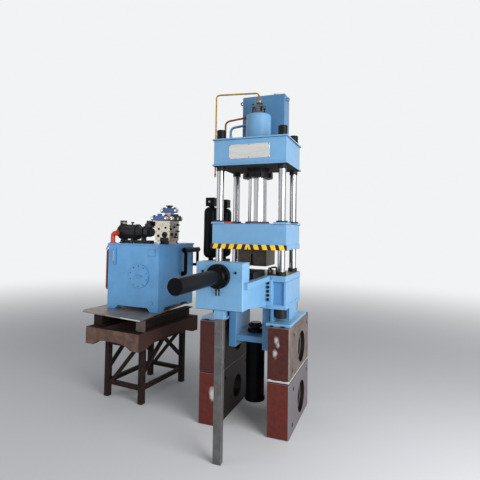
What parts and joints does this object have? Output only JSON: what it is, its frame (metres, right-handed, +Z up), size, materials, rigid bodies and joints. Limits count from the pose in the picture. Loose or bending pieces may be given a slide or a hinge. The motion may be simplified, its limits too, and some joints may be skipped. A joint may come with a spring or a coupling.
{
  "type": "vertical cold-chamber die casting machine",
  "caption": "Four-column vertical die casting press on raised steel stands, with a front slide cylinder, gas bottles and a separate oil power unit on a trestle.",
  "frame": {"origin": "middle of the footprint of the press and its power unit together, on the floor", "axes": "+Z up along the columns, +X to the right seen from the front, +Y away from the front, where the side cylinder points"},
  "size_m": [2.767, 2.7793, 3.7102],
  "materials": {
    "blue_paint": "semi-gloss machine enamel over welded steel",
    "hard_chrome": "ground and polished hard chrome",
    "black_oxide": "black satin finish on turned steel",
    "zinc_grey": "grey plated steel",
    "bright_aluminium": "bright machined metal",
    "brass": "drawn yellow metal pipe",
    "red_paint": "dark red enamel",
    "white_plastic": "moulded white",
    "primer_steel": "red-brown primer, worn to steel on the bored sides",
    "raw_steel": "unpainted rolled and machined steel",
    "rusty_steel": "old dark paint, rusted through"
  },
  "bodies": {
    "press": {"accumulator_front": "black_oxide", "accumulator_manifold": "black_oxide", "accumulator_rear": "black_oxide", "bed": "blue_paint", "blue_pipe": "blue_paint", "bracket": "blue_paint", "brass_pipe": "brass", "breather": "white_plastic", "column_front_left": "hard_chrome", "column_front_right": "hard_chrome", "column_rear_left": "hard_chrome", "column_rear_right": "hard_chrome", "crown": "blue_paint", "cylinder_gland": "black_oxide", "deck_plate": "rusty_steel", "inspection_cover": "blue_paint", "level_gauge": "bright_aluminium", "main_cylinder": "blue_paint", "motor": "black_oxide", "nameplate": "bright_aluminium", "oil_box": "blue_paint", "oil_box_cap": "white_plastic", "prefill_valve": "zinc_grey", "prop_post": "raw_steel", "pump": "black_oxide", "red_pipe": "red_paint", "return_filter": "black_oxide", "shot_cylinder": "black_oxide", "shot_frame": "blue_paint", "side_cylinder": "black_oxide", "side_pipe": "red_paint", "spacer_left": "rusty_steel", "spacer_right": "rusty_steel", "stand_left_lower": "primer_steel", "stand_left_upper": "primer_steel", "stand_right_lower": "primer_steel", "stand_right_upper": "primer_steel", "suction_elbow": "red_paint", "tank": "blue_paint", "tank_lid": "blue_paint", "top_nut_front_left": "black_oxide", "top_nut_front_right": "black_oxide", "top_nut_rear_left": "black_oxide", "top_nut_rear_right": "black_oxide", "trestle_front": "rusty_steel", "trestle_left": "rusty_steel", "trestle_rear": "rusty_steel", "trestle_right": "rusty_steel", "trestle_top": "rusty_steel", "valve_block": "bright_aluminium", "valve_fitting": "zinc_grey", "valve_lower": "black_oxide", "valve_side": "black_oxide", "valve_upper": "black_oxide"},
    "platen": {"platen": "blue_paint", "ram": "hard_chrome", "die_block": "raw_steel"},
    "carriage": {"carriage": "black_oxide", "carriage_rod": "hard_chrome"},
    "shot_rod": {"shot_coupling": "black_oxide"}
  },
  "joints": [
    {"name": "platen_slide", "type": "slide", "parent": "press", "child": "platen", "axis": [0, 0, 1], "range_m": [-0.01, 0.42]},
    {"name": "carriage_slide", "type": "slide", "parent": "press", "child": "carriage", "axis": [0, 1, 0], "range_m": [-0.15, 0.46]},
    {"name": "shot_slide", "type": "slide", "parent": "press", "child": "shot_rod", "axis": [0, 0, 1], "range_m": [0, 0.33]}
  ]
}
